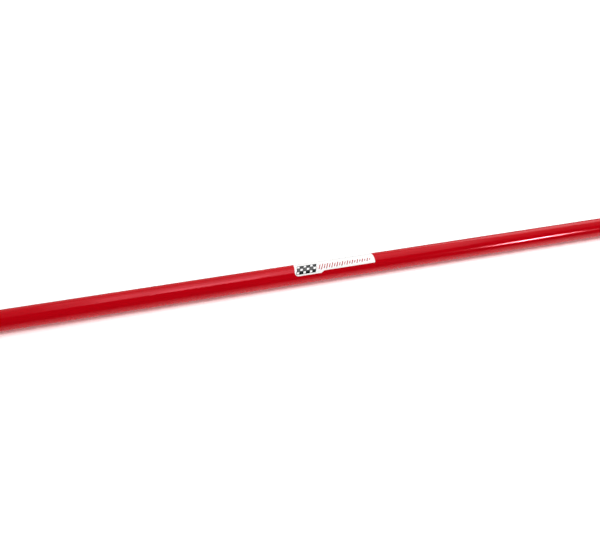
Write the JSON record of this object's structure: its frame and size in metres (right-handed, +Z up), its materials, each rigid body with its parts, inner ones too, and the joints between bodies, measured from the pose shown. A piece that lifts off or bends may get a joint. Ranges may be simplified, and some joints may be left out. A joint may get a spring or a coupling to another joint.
{
  "type": "anti-roll bar",
  "caption": "Round steel anti-roll bar with forged eye ends, greasable split bushings in saddle brackets, and upright bolt-through end links.",
  "frame": {"origin": "on the brackets' mounting plane, below the bar's axis and midway between the two brackets", "axes": "+X along the bar, +Z up off the mounting plane, the arms reach towards -Y"},
  "size_m": [1.2804, 0.3859, 0.1652],
  "materials": {
    "red_powder_coat": "gloss",
    "label_vinyl": "gloss",
    "black_polyurethane": "satin",
    "zinc_plate": "satin",
    "nylon": "satin",
    "spring_steel": "polished"
  },
  "bodies": {
    "frame_mounts": {"saddle_bracket_left": "zinc_plate", "pivot_bushing_left": "black_polyurethane", "grease_fitting_left": "zinc_plate", "grease_spring_left": "spring_steel", "saddle_bracket_right": "zinc_plate", "pivot_bushing_right": "black_polyurethane", "grease_fitting_right": "zinc_plate", "grease_spring_right": "spring_steel"},
    "bar": {"sway_bar": "red_powder_coat", "label": "label_vinyl"},
    "link_left": {"link_bolt_left": "zinc_plate", "eye_washer_lower_left": "zinc_plate", "eye_rubber_lower_left": "black_polyurethane", "eye_rubber_upper_left": "black_polyurethane", "eye_washer_upper_left": "zinc_plate", "spacer_sleeve_left": "zinc_plate", "frame_washer_lower_left": "zinc_plate", "frame_rubber_lower_left": "black_polyurethane", "frame_rubber_upper_left": "black_polyurethane", "frame_washer_upper_left": "zinc_plate", "lock_nut_left": "zinc_plate", "lock_nut_insert_left": "nylon"},
    "grease_ball_left": {"grease_ball_left": "spring_steel"},
    "link_right": {"link_bolt_right": "zinc_plate", "eye_washer_lower_right": "zinc_plate", "eye_rubber_lower_right": "black_polyurethane", "eye_rubber_upper_right": "black_polyurethane", "eye_washer_upper_right": "zinc_plate", "spacer_sleeve_right": "zinc_plate", "frame_washer_lower_right": "zinc_plate", "frame_rubber_lower_right": "black_polyurethane", "frame_rubber_upper_right": "black_polyurethane", "frame_washer_upper_right": "zinc_plate", "lock_nut_right": "zinc_plate", "lock_nut_insert_right": "nylon"},
    "grease_ball_right": {"grease_ball_right": "spring_steel"}
  },
  "joints": [
    {"name": "bar_pivot", "type": "hinge", "parent": "frame_mounts", "child": "bar", "pos_m": [0, 0, 0.02075], "axis": [1, 0, 0], "range_deg": [-20, 20]},
    {"name": "link_left_swing", "type": "hinge", "parent": "bar", "child": "link_left", "pos_m": [-0.62121, -0.305, 0.0308], "axis": [1, 0, 0], "range_deg": [-12, 12], "stiffness_Nm_per_rad": 20, "deforming": ["eye_rubber_lower_left", "eye_rubber_upper_left"]},
    {"name": "link_right_swing", "type": "hinge", "parent": "bar", "child": "link_right", "pos_m": [0.62121, -0.305, 0.0308], "axis": [1, 0, 0], "range_deg": [-12, 12], "stiffness_Nm_per_rad": 20, "deforming": ["eye_rubber_lower_right", "eye_rubber_upper_right"]},
    {"name": "grease_ball_left_slide", "type": "slide", "parent": "frame_mounts", "child": "grease_ball_left", "axis": [0, 0, -1], "range_m": [0, 0.0008], "stiffness_N_per_m": 200, "deforming": ["grease_spring_left"]},
    {"name": "grease_ball_right_slide", "type": "slide", "parent": "frame_mounts", "child": "grease_ball_right", "axis": [0, 0, -1], "range_m": [0, 0.0008], "stiffness_N_per_m": 200, "deforming": ["grease_spring_right"]}
  ]
}
